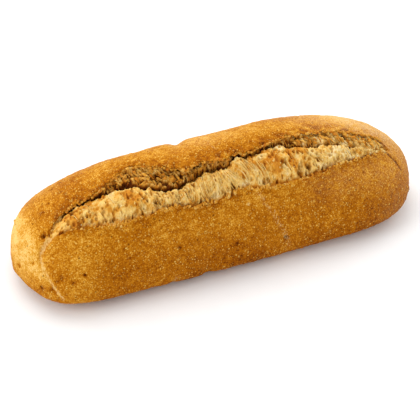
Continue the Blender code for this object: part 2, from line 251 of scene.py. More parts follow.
def outward(x, angle, plan):
    lengthwise = math.copysign(1 - plan, x)
    return Vector((lengthwise, plan * math.cos(angle), plan * math.sin(angle))).normalized()


def angleOfY(y, x, plan):
    share = y / (halfWidthAt(x) * plan)
    share = min(max(share, -loaf["widestShare"]), loaf["widestShare"])
    return math.acos(signedPower(share, 1 / loaf["sidePower"]))


@lru_cache(maxsize=None)
def frontLipY(x):
    away = min(abs(x - slash["middle"]) / slash["reach"], 1.0)
    lip = mix(slash["frontLip"], slash["frontLipAtEnds"], away ** slash["frontLipPower"])
    return lip + sum(depth * hump(place, reach, x) for place, reach, depth in slash["frontNotches"])


@lru_cache(maxsize=None)
def creviceY(x):
    jag = raggedAt("crevice", x / slash["creviceJagSize"], 0, slash["creviceJagSeed"])
    line = along(slash["crevice"], x) + slash["creviceJagReach"] * jag
    return max(line, frontLipY(x) + slash["narrowestCrumb"])


@lru_cache(maxsize=None)
def rearLipY(x):
    return max(along(slash["rear"], x), creviceY(x) + slash["narrowestWall"])


@lru_cache(maxsize=None)
def lipJag(x, seed):         # small tears of a lip
    return slash["jagReach"] * raggedAt("lip", x / slash["jagSize"], seed, 0)


@lru_cache(maxsize=None)
def tornFrontY(x):
    return frontLipY(x) + lipJag(x, slash["frontJagSeed"]) * openedAt(x)


@lru_cache(maxsize=None)
def tornRearY(x):
    return rearLipY(x) + lipJag(x, slash["rearJagSeed"]) * openedAt(x)


@lru_cache(maxsize=None)
def openedAt(x):             # 0 at the slash's ends, 1 over its middle
    start, end, opening = slash["start"], slash["end"], slash["opening"]
    return smoothStep(start, start + opening, x) * smoothStep(end, end - opening, x)


@lru_cache(maxsize=None)
def cutAt(x):                # how far the crevice gapes
    start, end, fade = slash["creviceStart"], slash["creviceEnd"], slash["creviceFade"]
    return smoothStep(start, start + fade, x) * smoothStep(end, end - fade, x)


def earShare(x):             # the rear crust's edge stands up less where it is torn in layers
    return openedAt(x) * (1 - slash["layeredLoss"] * hump(slash["layered"], slash["layeredReach"], x))


def earForward(x, y):        # how far the rear crust's edge hangs over
    return slash["earOverhang"] * hump(rearLipY(x), slash["earHalfWidth"], y) * earShare(x)


def creaseAt(crease, point):  # depth of the crease here, and its share of closeness
    deepest, closest = 0.0, 0.0
    points, depths = crease["points"], crease["depths"]
    for index in range(len(points) - 1):
        start = Vector(points[index])
        run = Vector(points[index + 1]) - start
        share = min(max((point - start).dot(run) / run.length_squared, 0.0), 1.0)
        gap = (point - start - run * share).length
        if gap < 4 * crease["halfWidth"]:
            near = hump(0.0, crease["halfWidth"], gap)
            deepest = max(deepest, mix(depths[index], depths[index + 1], share) * near)
            closest = max(closest, near)
    return deepest, closest


# the crust, one closed skin whose trough under the torn crumb is out of sight

crust = {
    "stations": 340, "rowsOver": 104, "rowsUp": 50,
    "frontLipRow": 34, "rearLipRow": 46,
    "rimCrags": 0.00070, "rimReach": 0.0040, "rimSize": 0.0021,
    "flakeSize": (0.0030, 0.0014), "flakeRelief": 0.00055, "flakeReach": 0.0022,
    "lipStep": 0.0004, "troughDepth": 0.0090, "troughWall": 0.0018,
    "retreat": 0.0008, "underside": -0.5,
    "lipRise": 0.0010, "lipReach": 0.0017, "lipWaves": (0.005, 3.3), "lipShares": (0.5, 1.5),
    "flakePlace": -0.0006, "flakeSeed": 7.6, "rimSeed": 3.1,
    "lumps": ((0.030, 0.0005), (0.009, 0.0002)), "lumpOffset": Vector((7, 3, 5)),
    "skinLumps": ((0.0042, 0.00014), (0.0019, 0.00012)),
    "wrinkleSize": Vector((0.0030, 0.0016, 0.0016)), "wrinkleRelief": 0.00013,
    "blisters": 520, "blisterSize": (0.0006, 0.0015), "blisterRise": (0.00012, 0.00032),
    "pits": 170, "pitSize": (0.0005, 0.0010), "pitDepth": (0.00020, 0.00055),
    # blisters and pits: where they lie, how a dome fades out, and how some burst into a hole and a ring
    "markSpan": 0.99, "markArc": (-30, 215), "markReach": 1.6, "domeShare": 0.6, "burstFrom": 0.6,
    "burstDepth": 1.3, "burstShare": 0.3, "ringShares": (0.55, 0.25), "ringPale": 0.10,
    # how much darker the pits are painted, painted shade in them, and how dark the single marks are painted
    "holeShade": 0.16, "holeEdge": 0.0003, "markDark": 0.7,
    "capHalvings": 20, "capRingsShare": 0.35, "onFace": 0.9999, "seed": 11,
}


def crustAngleOfRow(row, x, plan):
    frontRow, rearRow, last = crust["frontLipRow"], crust["rearLipRow"], crust["rowsOver"]
    front, rear = tornFrontY(x), tornRearY(x)
    if row <= frontRow:
        return mix(loaf["topFront"], angleOfY(front, x, plan), row / frontRow)
    if row >= rearRow:
        return mix(angleOfY(rear, x, plan), loaf["topRear"], (row - rearRow) / (last - rearRow))
    hidden = rearRow - frontRow
    step = min(crust["lipStep"], (rear - front) / hidden)
    behind = row - frontRow
    edgeRows = hidden // 3
    if behind <= edgeRows:
        y = front + step * behind
    elif behind >= hidden - edgeRows:
        y = rear - step * (hidden - behind)
    else:
        inner = front + step * edgeRows
        y = mix(inner, rear - step * edgeRows, (behind - edgeRows) / (hidden - 2 * edgeRows))
    return angleOfY(y, x, plan)


def crustOnRing(across, up, x, plan):
    onFace = crust["onFace"]
    if up > onFace:
        return crustAngleOfRow((across + 1) / 2 * crust["rowsOver"], x, plan)
    if across < -onFace:
        return mix(loaf["baseFront"], loaf["topFront"], (up + 1) / 2)
    if across > onFace:
        return mix(loaf["baseRear"], loaf["topRear"], (up + 1) / 2)
    return mix(loaf["baseFront"], loaf["baseRear"] + 2 * math.pi, (across + 1) / 2)


capEdges = {}                # edge points of each cap, kept because they are asked for again and again


def capEdge(across, up, side):
    key = (round(across, 6), round(up, 6), side)
    if key not in capEdges:
        x = xOfPlanTaper(loaf["capShare"], side)
        capEdges[key] = loafPoint(x, crustOnRing(across, up, x, loaf["capShare"]), loaf["capShare"])
    return capEdges[key]


def capTarget(across, up, side):    # a point of the square, spread over the cap's edge seen along the loaf
    alongY, alongZ = (across + 1) / 2, (up + 1) / 2
    lowCorners = capEdge(-1, -1, side).lerp(capEdge(1, -1, side), alongY)
    highCorners = capEdge(-1, 1, side).lerp(capEdge(1, 1, side), alongY)
    upright = capEdge(across, -1, side).lerp(capEdge(across, 1, side), alongZ)
    level = capEdge(-1, up, side).lerp(capEdge(1, up, side), alongY)
    even = upright + level - lowCorners.lerp(highCorners, alongZ)
    ring = max(abs(across), abs(up))
    middle = Vector((even.x, 0, loaf["waist"]))
    if ring == 0:
        return even.lerp(middle, crust["capRingsShare"])
    onRing = middle.lerp(capEdge(across / ring, up / ring, side), ring)
    return even.lerp(onRing, crust["capRingsShare"])


def ringAngle(target, x, plan):
    share = target.y / (halfWidthAt(x) * max(plan, 1e-7))
    if abs(share) >= 1:
        return (0.0 if share > 0 else math.pi), False
    angle = math.acos(signedPower(share, 1 / loaf["sidePower"]))
    if target.z < loaf["waist"]:
        angle = 2 * math.pi - angle
        return angle, loafPoint(x, angle, plan).z <= target.z
    return angle, loafPoint(x, angle, plan).z >= target.z


def capPlace(side, across, up):
    outer, inner = loaf["capShare"], 0.0
    target = capTarget(across, up, side)
    for _ in range(crust["capHalvings"]):
        plan = (outer + inner) / 2
        if ringAngle(target, xOfPlanTaper(plan, side), plan)[1]:
            outer = plan
        else:
            inner = plan
    x = xOfPlanTaper(outer, side)
    return x, ringAngle(target, x, outer)[0], outer


def crustPlace(corner):      # carries a point of the cube to the plain loaf
    side, across, up = corner
    if abs(side) > crust["onFace"] and max(abs(across), abs(up)) < crust["onFace"]:
        x, angle, plan = capPlace(math.copysign(1, side), across, up)
    else:
        x = abs(side) * xOfPlanTaper(loaf["capShare"], side)
        plan = planTaper(x)
        angle = crustOnRing(across, up, x, plan)
    return x, angle, plan


def crustSlash(x, y):        # how far the slash moves the crust out
    if not slash["start"] < x < slash["end"]:
        return 0.0
    front, rear = tornFrontY(x), tornRearY(x)
    ear = slash["earRise"] * earShare(x) * smoothStep(rear + slash["earLength"], rear, y)
    lip = crust["lipRise"] * hump(front, crust["lipReach"], y)
    inside = min(y - front, rear - y)
    trough = crust["troughDepth"] * smoothStep(0, crust["troughWall"], inside)
    size, seed = crust["lipWaves"]
    ridge = mix(*crust["lipShares"], 0.5 + planNoise(x, 0, size, 1, seed))
    flakeX, flakeY = crust["flakeSize"]
    flaky = raggedAt("flake", x / flakeX, y / flakeY, crust["flakeSeed"])
    flakes = crust["flakeRelief"] * flaky * hump(front + crust["flakePlace"], crust["flakeReach"], y)
    broken = raggedAt("flake", x / crust["rimSize"], y / crust["rimSize"], crust["rimSeed"])
    rim = crust["rimCrags"] * broken * hump(rear, crust["rimReach"], y)
    return openedAt(x) * ((ear + rim if y > (front + rear) / 2 else lip * ridge + flakes) - trough)


def earUnderside(x, y):      # 1 on the crust, less and then backwards below its hanging edge
    return mix(1.0, crust["underside"], smoothStep(0, crust["retreat"], tornRearY(x) - y))


def scatterMarks(count, sizes, heights, seed):
    draw = random.Random(seed)
    marks = []
    for _ in range(count):
        x = draw.uniform(-crust["markSpan"], crust["markSpan"]) * halfLength
        angle = math.radians(draw.uniform(*crust["markArc"]))
        point = loafPoint(x, angle, planTaper(x))
        marks.append((point, draw.uniform(*sizes), draw.uniform(*heights), draw.random()))
    tree = kdtree.KDTree(count)
    for index, mark in enumerate(marks):
        tree.insert(mark[0], index)
    tree.balance()
    return marks, tree, max(sizes)


def marksAt(field, point):   # relief of the marks round a point: domes, some of them burst into rings
    marks, tree, reach = field
    rise, ring = 0.0, 0.0
    for _, index, gap in tree.find_range(point, crust["markReach"] * reach):
        _, size, height, burst = marks[index]
        near = hump(0.0, size * crust["domeShare"], gap)
        rise += height * near
        if burst > crust["burstFrom"]:
            rise -= height * crust["burstDepth"] * hump(0.0, size * crust["burstShare"], gap)
            place, width = crust["ringShares"]
            ring = max(ring, hump(size * place, size * width, gap))
    return rise, ring


# how the crust's colour changes over the loaf: each wash is an amount, times the ramps that limit it along
# x, y or z, from where it is 0 to where it is whole, or times a hump near a place along the loaf
bakeAndPaintedLightWashes = (
    # darker low on the front side: partly baking, partly painted shade
    (0.20, ("y", 0.0, -0.030), ("z", 0.036, 0.008)),
    (-0.12, ("x", -0.055, -0.090), ("y", 0.0, -0.030)),
    (-0.34, ("x", -0.0930, -0.1010), ("z", 0.006, 0.026)),
    # this and the next two: paler on the rear top and the far rear, partly paler crust and partly painted
    # light
    (-0.05, ("y", -0.008, 0.004), ("z", 0.010, 0.030)),
    (-0.07, ("near", -0.010, 0.018), ("y", -0.008, 0.004), ("z", 0.010, 0.030)),
    (-0.16, ("x", 0.030, 0.085), ("y", -0.012, 0.004)),
    (0.07, ("x", -0.030, -0.045), ("x", -0.085, -0.070), ("y", -0.010, 0.0)),
)
# where the crust is painted lighter and less yellow: partly a paler dusty crust, partly a painted sheen of
# the bright room
dustAndSheenWashes = (
    (1.00, ("x", 0.025, 0.090), ("y", -0.010, 0.006), ("z", 0.020, 0.040)),
    (0.22, ("y", 0.006, 0.026), ("z", 0.020, 0.040)),
    (0.20, ("x", 0.060, 0.100)),
    (0.25, ("near", -0.004, 0.014), ("y", -0.006, 0.004)),
    (0.45, ("x", 0.060, 0.095), ("y", -0.020, -0.004), ("z", 0.014, 0.030)),
    (0.14, ("x", 0.025, 0.055), ("y", -0.020, -0.028), ("z", 0.022, 0.036)),
)
baking = {
    "base": 0.47, "dustAndSheenMost": 0.95,
    # blotches: amount, size, seed
    "blotches": (0.14, (0.022, 0.020, 0.018), 4.4),
    "endBlotches": (0.16, (0.0042, 0.0042, 0.0042), 8.3), "endFrom": -0.0900, "endWhole": -0.0990,
    # edges of the lips: amount, half width
    "rearEdge": (0.16, 0.0030), "rearEdgeShift": 0.0010, "rearEdgeEnd": (0.070, 0.040),
    "frontEdge": (0.08, 0.0022),
    # blotches there: amount, size along, size across, seed, half width
    "frontTears": (0.28, 0.0036, 0.0013, 6.1, 0.0030), "rearTears": (0.40, 0.0030, 0.0018, 3.9, 0.0045),
}


def washAt(washes, point):
    total = 0.0
    for amount, *limits in washes:
        for kind, start, end in limits:
            near = kind == "near"
            amount *= hump(start, end, point.x) if near else smoothStep(start, end, getattr(point, kind))
        total += amount
    return total


def blotchesAt(name, point):
    amount, sizes, seed = baking[name]
    return amount * noiseAt(*point, *sizes, seed)


def tearsAt(name, lip, x, y):
    amount, sizeX, sizeY, seed, reach = baking[name]
    return amount * planNoise(x, y, sizeX, sizeY, seed) * hump(lip, reach, y)


# how browned the crust is, with painted shade in pits, dents, a crack and low on the front, and painted light
# on the rear top
def crustBakeAndPaintedLight(point):        # 0 is pale, 1 is dark brown
    x, y, _ = point
    bakeAndPaintedLight = baking["base"] + blotchesAt("blotches", point) + washAt(bakeAndPaintedLightWashes, point)
    bakeAndPaintedLight += blotchesAt("endBlotches", point) * smoothStep(baking["endFrom"], baking["endWhole"], x)
    if slash["start"] < x < slash["end"]:
        rear, front = rearLipY(x), frontLipY(x)
        amount, reach = baking["rearEdge"]
        edge = amount * hump(rear + baking["rearEdgeShift"], reach, y) * smoothStep(*baking["rearEdgeEnd"], x)
        amount, reach = baking["frontEdge"]
        edge += amount * hump(front, reach, y)
        edge += tearsAt("frontTears", front, x, y) + tearsAt("rearTears", rear, x, y)
        bakeAndPaintedLight += edge * openedAt(x)
    return bakeAndPaintedLight


# partly a paler dusty crust, partly a painted sheen: the bright room reflected on the rear and the far end
def crustDustAndSheen(point):        # where the crust is lighter and less yellow
    return min(washAt(dustAndSheenWashes, point), baking["dustAndSheenMost"])


def gridCube(stations, rowsAcross, rowsUp, topOnly=False):
    mesh = bmesh.new()
    cubeSide = 2
    bmesh.ops.create_cube(mesh, size=cubeSide)
    for axis, count in enumerate((stations, rowsAcross, rowsUp)):
        if count < 2:
            continue
        edges = []
        for edge in mesh.edges:
            first, second = (vertex.co for vertex in edge.verts)
            onTop = first.z > 0 and second.z > 0
            span = abs(first[axis] - second[axis])
            if span > cubeSide * crust["onFace"] and (onTop or axis == 0 or not topOnly):
                edges.append(edge)
        bmesh.ops.subdivide_edges(mesh, edges=edges, cuts=count - 1, use_grid_fill=True)
    return mesh


def finishPiece(mesh, name, material):
    bmesh.ops.recalc_face_normals(mesh, faces=mesh.faces)
    data = bpy.data.meshes.new(name)
    mesh.to_mesh(data)
    mesh.free()
    data.shade_smooth()
    data.materials.append(material)
    piece = bpy.data.objects.new(name, data)
    bpy.context.scene.collection.objects.link(piece)
    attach(piece, "root")
    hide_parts("loaf")
    print("made", name, len(data.polygons), "faces")


def buildCrust():
    mesh = gridCube(crust["stations"], crust["rowsOver"], crust["rowsUp"])
    bakeAndPaintedLightLayer = mesh.verts.layers.float.new("bakeAndPaintedLight")
    paleLayer = mesh.verts.layers.float.new("pale")
    dustAndSheenLayer = mesh.verts.layers.float.new("dustAndSheen")
    blisters = scatterMarks(crust["blisters"], crust["blisterSize"], crust["blisterRise"], crust["seed"])
    pits = scatterMarks(crust["pits"], crust["pitSize"], crust["pitDepth"], crust["seed"] + 1)
    for vertex in mesh.verts:
        x, angle, plan = crustPlace(vertex.co)
        whole = loafPoint(x, angle, plan)
        bakeAndPaintedLight = crustBakeAndPaintedLight(whole)
        out = sum(noise.noise(whole / size + crust["lumpOffset"]) * relief for size, relief in crust["lumps"])
        out += sum(noise.noise(whole / size) * relief for size, relief in crust["skinLumps"])
        wrinkle = Vector(whole[axis] / crust["wrinkleSize"][axis] for axis in range(3))
        out += crust["wrinkleRelief"] * (0.5 - 2 * abs(noise.noise(wrinkle)))
        pale = 0.0
        for crease in creases:
            depth, closeness = creaseAt(crease, whole)
            out -= depth
            pale = max(pale, crease["pale"] * closeness)
            # a crease's dark share is painted shade along a crack
            bakeAndPaintedLight += crease.get("dark", 0) * closeness
        # single marks: the dented ones are painted dark, painted shade in their holes
        for place, radius, rise, dark, light in marks:
            near = hump(0.0, radius, (whole - Vector(place)).length)
            out += rise * near
            bakeAndPaintedLight += crust["markDark"] * dark * near
            pale = max(pale, light * near)
        rise, ring = marksAt(blisters, whole)
        hole, _ = marksAt(pits, whole)
        out += rise - max(hole, 0.0)
        forward = 0.0
        if math.sin(angle) > 0:
            out += crustSlash(x, whole.y)
            forward = earForward(x, whole.y) * earUnderside(x, whole.y)
        point = whole + outward(x, angle, plan) * out
        point.y -= forward
        point.z = 0.0 if whole.z <= 0 else max(point.z, 0.0)
        vertex.co = point
        # the pits are painted darker: painted shade in them
        bakeAndPaintedLight += crust["holeShade"] * smoothStep(0, crust["holeEdge"], hole) - crust["ringPale"] * ring
        vertex[bakeAndPaintedLightLayer] = bakeAndPaintedLight
        vertex[paleLayer] = pale
        vertex[dustAndSheenLayer] = crustDustAndSheen(whole)
    flat = [face for face in mesh.faces if all(vertex.co.z < 1e-7 for vertex in face.verts)]
    bmesh.ops.dissolve_faces(mesh, faces=flat, use_verts=True)
    return mesh


# the torn inside: crumb, crevice and the torn wall up to the rear crust

torn = {
    "stations": 1080, "crumbRows": 50, "wallRows": 32,
    "tuckFront": 0.0010, "tuckRear": 0.0012, "tuckRearFrom": -0.0002, "tuckDepth": 0.0022,
    "thickness": 0.0030, "earFollow": 0.45, "farBand": (0.030, 0.044),
    "creviceDepth": 0.0064, "creviceHalfWidth": 0.00075, "creviceVaries": 0.7, "creviceFarLoss": 0.35,
    # wider stretches of the crevice: place, half length, share wider
    "caves": ((0.0315, 0.0045, 1.1), (-0.0130, 0.0060, 0.7), (-0.0530, 0.0060, 0.5)),
    # noises over the plan: size along, size across, seed
    "noises": {
        "gape": (0.006, 1, 4.2), "lean": (0.012, 1, 6.6), "bend": (0.0075, 0.0060, 8.1),
        "kink": (0.0022, 0.0018, 5.6), "clump": (0.0050, 0.0045, 1.3), "thread": (0.0017, 0.0042, 7.2),
        "crumbPit": (0.0016, 0.0024, 5.5), "crowd": (0.0110, 0.0060, 3.7), "slit": (0.0055, 0.0035, 4.6),
        "patch": (0.0052, 0.0034, 2.2), "blotch": (0.0018, 0.0015, 7.7), "broad": (0.0048, 0.0040, 1.9),
        "layer": (0.0060, 0.0060, 4.9), "wallSlit": (0.0070, 0.0050, 9.4),
        "wallPit": (0.0022, 0.0016, 6.3), "wallBroad": (0.0036, 0.0026, 5.8),
    },
    "bend": 0.0022, "kink": 0.0007,
    "cragSize": Vector((0.0060, 0.0075, 0.0075)), "cragRelief": 0.0010,
    # fibres: width, length, relief on the crumb, relief on the wall
    "fibres": ((0.0036, 0.0056, 0.00034, 0.00060), (0.0017, 0.0034, 0.00028, 0.00050),
               (0.0008, 0.0020, 0.00018, 0.00030)),
    "fibreSeed": 3.1, "betweenFrom": 0.35, "betweenWhole": -0.75, "betweenShares": (0.6, 0.4),
    "grains": ((0.0024, 0.00060), (0.0012, 0.00036), (0.0006, 0.00018)), "grainSeed": 2.9,
    "bubbles": 420, "bubbleSize": (0.0004, 0.0012), "bubbleDepth": (0.0003, 0.0011), "seed": 5,
    "bubbleAcross": 1.5, "bubbleFloor": 0.35,
    # pockets between the strands: place along, place across, radius; each is dented and painted dark, painted
    # shade in it
    "pockets": ((-0.0022, -0.0232, 0.0013), (0.0330, -0.0236, 0.0014), (0.0385, -0.0226, 0.0010),
                (0.0450, -0.0205, 0.0011), (-0.0790, -0.0120, 0.0010), (-0.0400, -0.0215, 0.0012),
                (0.0318, -0.0104, 0.0018), (0.0346, -0.0108, 0.0016), (0.0450, -0.0116, 0.0014),
                (0.0530, -0.0075, 0.0011), (0.0590, -0.0138, 0.0011), (0.0655, -0.0190, 0.0008)),
    # where strands fan out from the crevice, and how strongly
    "fanFrom": -0.003, "fanDrift": -0.004, "fanReach": 0.011, "fanSpread": 2.2, "fanRounds": 6,
}

# the crumb, from the front lip to the crevice; places across are shares of that way
crumb = {
    "drop": 0.0019, "swell": 0.0034, "swellLean": 0.85, "swellPower": 0.75, "edgeShare": 0.09,
    "crestRise": 0.0005, "farCrestRise": 0.0017, "crestFrom": (0.45, 0.85),
    "toothSize": 0.0026, "toothSeed": 1.7, "toothRelief": 0.0008, "toothFrom": (0.70, 0.96),
    "lean": 0.35, "leanVaries": 0.50, "fibrousPlace": -0.012, "fibrousReach": 0.032,
    "clumpContrast": 1.5, "smoothest": 0.05, "leastFibrous": 0.45, "crags": 1.2, "grains": (1.5, 0.7),
    "pitEdge": (0.24, 0.44), "pitFoot": (0.30, 0.10), "crowdEdge": (-0.05, 0.30), "crowdShare": 0.6,
    "threadEdge": (0.09, 0.02), "slitEdge": (0.0, 0.25),
    "depths": {"pit": 0.0013, "pocket": 0.0022, "bubble": 1.0, "slit": 0.0006},
    # baked zones along the crest: place, half length, amount
    "baked": ((-0.058, 0.015, 0.80), (0.022, 0.022, 1.00), (-0.016, 0.005, 0.45), (0.074, 0.014, 0.25)),
    "bakedAcross": (0.66, 0.40), "patchEdge": (-0.15, 0.25), "blotchEdge": (0.05, 0.30),
    "tailPart": (-0.066, -0.082), "farPart": (0.040, 0.050), "crestPart": (0.86, 1.0),
    "footPart": (0.10, 0.0), "ridgeEdge": (0.2, 0.9), "barePatch": 0.3, "darkest": 0.58,
    "toast": {"all": 0.17, "broad": 0.28, "blotch": 0.19, "tail": 0.24, "far": -0.12, "baked": 0.55,
              "crest": 0.30, "foot": 0.36, "ridge": 0.10},
    # painted shade: how dark each kind of hollow in the crumb is painted
    "hollow": {"pit": 0.50, "between": 0.09, "gap": 1.15, "pocket": 0.7, "bubble": 0.28, "slit": 0.50},
}

# the torn wall, from the crevice up to the rear crust
wall = {
    "lean": 0.45, "shredSize": 0.0021, "shredRelief": 0.00100, "shredWave": 1.8,
    "slits": ((0.0026, 0.0085, 1.0), (0.0014, 0.0045, 0.7)), "slitSeed": 7.2,
    "slitThread": (0.10, 0.02), "slitEdge": (-0.25, 0.15),
    "crags": 1.4, "cragsFarLoss": 0.6, "grains": 1.3, "tail": (-0.078, -0.087),
    "scoopDepth": 0.0016, "scoopEnd": 0.75, "scoopFarLoss": 0.8, "shredFarLoss": 0.7,
    "pitEdge": (0.22, 0.42), "depths": {"slit": 0.0011, "pit": 0.0013, "pocket": 0.0020},
    "layeredStart": (1.25, 1.05), "layeredLonger": 0.2, "rimShare": 0.4,
    "faceSize": (0.0030, 0.0022), "faceSeed": 6.4, "faceRelief": 0.0009,
    "faceGrain": 0.0007, "faceGrainSeed": 2.6, "faceGrainRelief": 0.0003, "faceFrom": 0.25, "faceTo": 0.8,
    # painted shade: the wall is painted darker the deeper it sinks into the crevice
    "darkFrom": -0.0012, "darkWhole": -0.0030, "darkVaries": 0.0012,
    # ridge: the backs of the wall's fibres are painted paler, a painted highlight
    "toast": {"all": 0.43, "broad": 0.22, "fine": 0.12, "ridge": -0.14, "far": -0.21},
    "undercut": (0.6, 0.95), "rough": (0.1, -0.6),
    # painted shade: how dark each kind of hollow in the wall is painted, less on the far band, and darker in
    # the crevice and the pockets
    "hollow": {"undercut": 0.06, "between": 0.11, "pit": 0.38, "rough": 0.12, "slit": 0.68},
    "hollowFarLoss": 0.30, "gapDark": 1.15, "pocketDark": 1.2,
}


def tornNoise(name, x, y=0):
    return planNoise(x, y, *torn["noises"][name])


def weighed(weights, amounts):       # the sum of what each amount counts for
    return sum(weights[name] * amount for name, amount in amounts.items())


def fanCentre(fromCrevice):
    return torn["fanFrom"] + torn["fanDrift"] * fromCrevice


def strandOf(x, fromCrevice):    # the place along the crevice where the strand through here begins
    centre = fanCentre(fromCrevice)
    spread = 1 + torn["fanSpread"] * fromCrevice * hump(centre, torn["fanReach"], x)
    return centre + (x - centre) / spread


def xOfStrand(start, fromCrevice):
    centre = fanCentre(fromCrevice)
    x = start
    for _ in range(torn["fanRounds"]):
        spread = 1 + torn["fanSpread"] * fromCrevice * hump(centre, torn["fanReach"], x)
        x = centre + (start - centre) * spread
    return x


def scatterBubbles():        # small open holes in the crumb, on the plan of the loaf
    draw = random.Random(torn["seed"])
    bubbles = []
    for _ in range(torn["bubbles"]):
        x = draw.uniform(slash["start"], slash["end"])
        across = draw.random() ** torn["bubbleAcross"]
        place = Vector((x, mix(frontLipY(x), creviceY(x), across), 0))
        bubbles.append((place, draw.uniform(*torn["bubbleSize"]), draw.uniform(*torn["bubbleDepth"])))
    tree = kdtree.KDTree(len(bubbles))
    for index, bubble in enumerate(bubbles):
        tree.insert(bubble[0], index)
    tree.balance()
    return bubbles, tree


bubbles, bubbleTree = scatterBubbles()


def bubbleAt(x, y):          # depth of the holes here and how far inside one this is
    depth, inside = 0.0, 0.0
    for _, index, gap in bubbleTree.find_range(Vector((x, y, 0)), torn["bubbleSize"][1]):
        _, size, deep = bubbles[index]
        near = smoothStep(size, size * torn["bubbleFloor"], gap)
        depth = max(depth, deep * near)
        inside = max(inside, near)
    return depth, inside


def farBand(x):              # 0 on the near half, 1 where the wall is a shallow pale band
    return smoothStep(*torn["farBand"], x)


def creviceGap(x, y):        # 1 in the crevice, 0 away from it
    halfWidth = torn["creviceHalfWidth"] * (1 + torn["creviceVaries"] * tornNoise("gape", x))
    halfWidth *= 1 - torn["creviceFarLoss"] * farBand(x)
    halfWidth *= 1 + sum(wider * hump(place, reach, x) for place, reach, wider in torn["caves"])
    return cutAt(x) * hump(creviceY(x), halfWidth, y)


def strandBend(x, y):
    return torn["bend"] * tornNoise("bend", x, y) + torn["kink"] * tornNoise("kink", x, y)


def ridgesAt(across, y):     # up to 1 on the back of a fibre, for each size of fibre
    sizes = (fibre[:2] for fibre in torn["fibres"])
    return [1 - 4 * abs(planNoise(across, y, *size, torn["fibreSeed"])) for size in sizes]


def betweenFibres(ridges):
    start, end = torn["betweenFrom"], torn["betweenWhole"]
    shares = torn["betweenShares"]
    return sum(share * smoothStep(start, end, ridge) for share, ridge in zip(shares, ridges[1:]))


def cragsAt(whole):
    return raggedAt("crag", *(whole[axis] / torn["cragSize"][axis] for axis in range(3)))


def grainsAt(x, y):
    return sum(relief * planNoise(x, y, size, size, torn["grainSeed"]) for size, relief in torn["grains"])


def pocketAt(x, y):
    return max(hump(0, radius, math.hypot(x - atX, y - atY)) for atX, atY, radius in torn["pockets"])


def crumbForm(x, y, whole, gap):     # how far the crumb stands out, and forward, its toast and its hollows
    front, crevice = frontLipY(x), creviceY(x)
    share = min(max((y - front) / (crevice - front), 0.0), 1.0)
    lean = crumb["lean"] + crumb["leanVaries"] * tornNoise("lean", x)
    across = strandOf(x, 1 - share) + strandBend(x, y) + lean * (y - front)
    ridges = ridgesAt(across, y)
    clump = min(max(0.50 + crumb["clumpContrast"] * tornNoise("clump", x, y), 0.0), 1.0)
    fibrous = mix(crumb["leastFibrous"], 1.0, hump(crumb["fibrousPlace"], crumb["fibrousReach"], x))
    rough = mix(crumb["smoothest"], 1.0, clump) * fibrous
    swelling = math.sin(math.pi * share ** crumb["swellLean"]) ** crumb["swellPower"]
    crestRise = mix(crumb["crestRise"], crumb["farCrestRise"], farBand(x))
    relief = crumb["swell"] * swelling - crumb["drop"] + crestRise * smoothStep(*crumb["crestFrom"], share)
    relief += crumb["crags"] * torn["cragRelief"] * cragsAt(whole)
    relief += mix(*crumb["grains"], clump) * grainsAt(x, y)
    teeth = raggedAt("tooth", x / crumb["toothSize"], 0, crumb["toothSeed"])
    relief += crumb["toothRelief"] * teeth * smoothStep(*crumb["toothFrom"], share)
    relief += rough * sum(ridge * fibre[2] for ridge, fibre in zip(ridges, torn["fibres"]))
    crowded = crumb["crowdShare"] * smoothStep(*crumb["crowdEdge"], tornNoise("crowd", x, y))
    pit = smoothStep(*crumb["pitEdge"], tornNoise("crumbPit", x, y))
    pit *= max(smoothStep(*crumb["pitFoot"], share), crowded)
    slit = smoothStep(*crumb["threadEdge"], abs(tornNoise("thread", across, y))) * rough
    slit *= smoothStep(*crumb["slitEdge"], tornNoise("slit", x, y))
    pocket = pocketAt(x, y)
    bubbleDepth, bubble = bubbleAt(x, y)
    relief -= weighed(crumb["depths"], {"pit": pit, "pocket": pocket, "bubble": bubbleDepth, "slit": slit})
    out = smoothStep(0, crumb["edgeShare"], share) * relief - torn["creviceDepth"] * gap
    zone = max(amount * hump(place, reach, x) for place, reach, amount in crumb["baked"])
    patch = smoothStep(*crumb["patchEdge"], tornNoise("patch", x, y))
    toast = weighed(crumb["toast"], {
        "all": 1, "broad": tornNoise("broad", x, y),
        "blotch": smoothStep(*crumb["blotchEdge"], tornNoise("blotch", x, y)),
        "tail": smoothStep(*crumb["tailPart"], x), "far": smoothStep(*crumb["farPart"], x),
        "baked": zone * patch * hump(*crumb["bakedAcross"], share),
        "crest": smoothStep(*crumb["crestPart"], share) * mix(crumb["barePatch"], 1.0, patch),
        "foot": smoothStep(*crumb["footPart"], share),
        "ridge": rough * smoothStep(*crumb["ridgeEdge"], ridges[2])})
    hollow = weighed(crumb["hollow"], {"pit": pit, "between": rough * betweenFibres(ridges), "gap": gap,
                                       "pocket": pocket, "bubble": bubble, "slit": slit})
    return out, 0.0, min(toast, crumb["darkest"]), hollow


